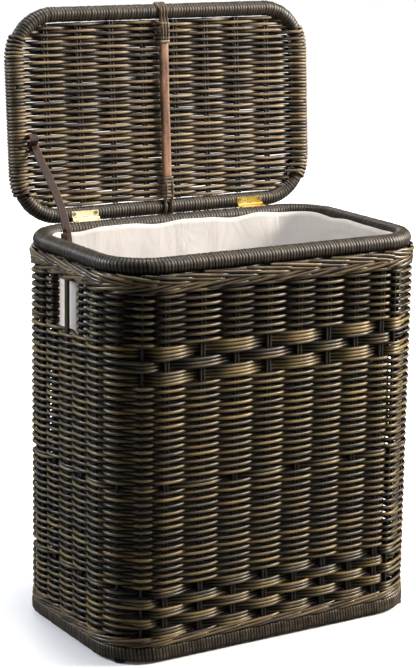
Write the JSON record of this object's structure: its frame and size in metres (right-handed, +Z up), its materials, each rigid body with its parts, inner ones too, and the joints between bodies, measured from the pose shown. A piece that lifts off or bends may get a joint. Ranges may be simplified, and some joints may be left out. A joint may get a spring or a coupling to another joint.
{
  "type": "laundry basket woven",
  "caption": "Tall rectangular woven laundry basket with rounded corners, a hinged woven lid held open by a leather strap, a cloth liner and hand windows in the side walls",
  "frame": {"origin": "On the floor under the middle of the basket, at the height of the faces of the four glides", "axes": "+X across the width to the basket's right, -Y toward the front where the lid opens, +Z up; the lid is open at rest and its hinge line runs along X at the back"},
  "size_m": [0.554, 0.3836, 0.94],
  "materials": {
    "rattan_weave": "lacquered reed, satin",
    "rattan_dark": "stained reed, satin",
    "rattan_peel": "stained peel, satin",
    "rattan_stake": "stained reed, satin",
    "brace_wood": "stained, matte",
    "liner_cloth": "plain cotton weave",
    "strap_leather": "smooth brown leather",
    "hinge_brass": "worn polished brass",
    "glide_plastic": "matte"
  },
  "bodies": {
    "basket": {"base_core": "rattan_dark", "base_wrap": "rattan_peel", "base_panel": "rattan_weave", "glides": "glide_plastic", "base_braid": "rattan_dark", "weave_lower_band": "rattan_weave", "weave_main": "rattan_weave", "weave_upper_band": "rattan_weave", "weave_top": "rattan_weave", "top_border": "rattan_dark", "wall_stakes": "rattan_stake", "corner_posts": "rattan_stake", "window_stakes": "rattan_stake", "rim_core": "rattan_dark", "rim_wrap": "rattan_peel", "liner_bag": "liner_cloth", "hinge_left_body_leaf": "hinge_brass", "hinge_right_body_leaf": "hinge_brass", "hinge_left_pin": "hinge_brass", "hinge_right_pin": "hinge_brass", "body_hinge_screws": "hinge_brass", "strap_rim_tab": "strap_leather", "strap_rim_screw": "hinge_brass"},
    "lid": {"lid_core": "rattan_dark", "lid_front_wrap": "rattan_peel", "lid_back_wrap": "rattan_peel", "lid_weave": "rattan_weave", "lid_stakes": "rattan_stake", "lid_brace": "brace_wood", "lashing_front": "rattan_peel", "lashing_back": "rattan_peel", "hinge_left_lid_leaf": "hinge_brass", "hinge_right_lid_leaf": "hinge_brass", "lid_hinge_screws": "hinge_brass", "strap_lid_tab": "strap_leather", "strap_lid_screw": "hinge_brass"},
    "strap_up": {"strap_upper": "strap_leather"},
    "strap_low": {"strap_lower": "strap_leather", "strap_rivet": "hinge_brass"}
  },
  "joints": [
    {"name": "lid_hinge", "type": "hinge", "parent": "basket", "child": "lid", "pos_m": [0, 0.1645, 0.612], "axis": [1, 0, 0], "range_deg": [0, 94]},
    {"name": "strap_at_lid", "type": "hinge", "parent": "lid", "child": "strap_up", "pos_m": [-0.2369, 0.17283, 0.73823], "axis": [1, 0, 0], "range_deg": [-137.99, 0]},
    {"name": "strap_fold", "type": "hinge", "parent": "strap_up", "child": "strap_low", "pos_m": [-0.2369, 0.11924, 0.68391], "axis": [1, 0, 0], "range_deg": [0, 171.07]}
  ],
  "couplings": [
    {"joint": "strap_at_lid", "follows": "lid_hinge", "ratio": -1.4669},
    {"joint": "strap_fold", "follows": "lid_hinge", "ratio": 1.8188}
  ]
}
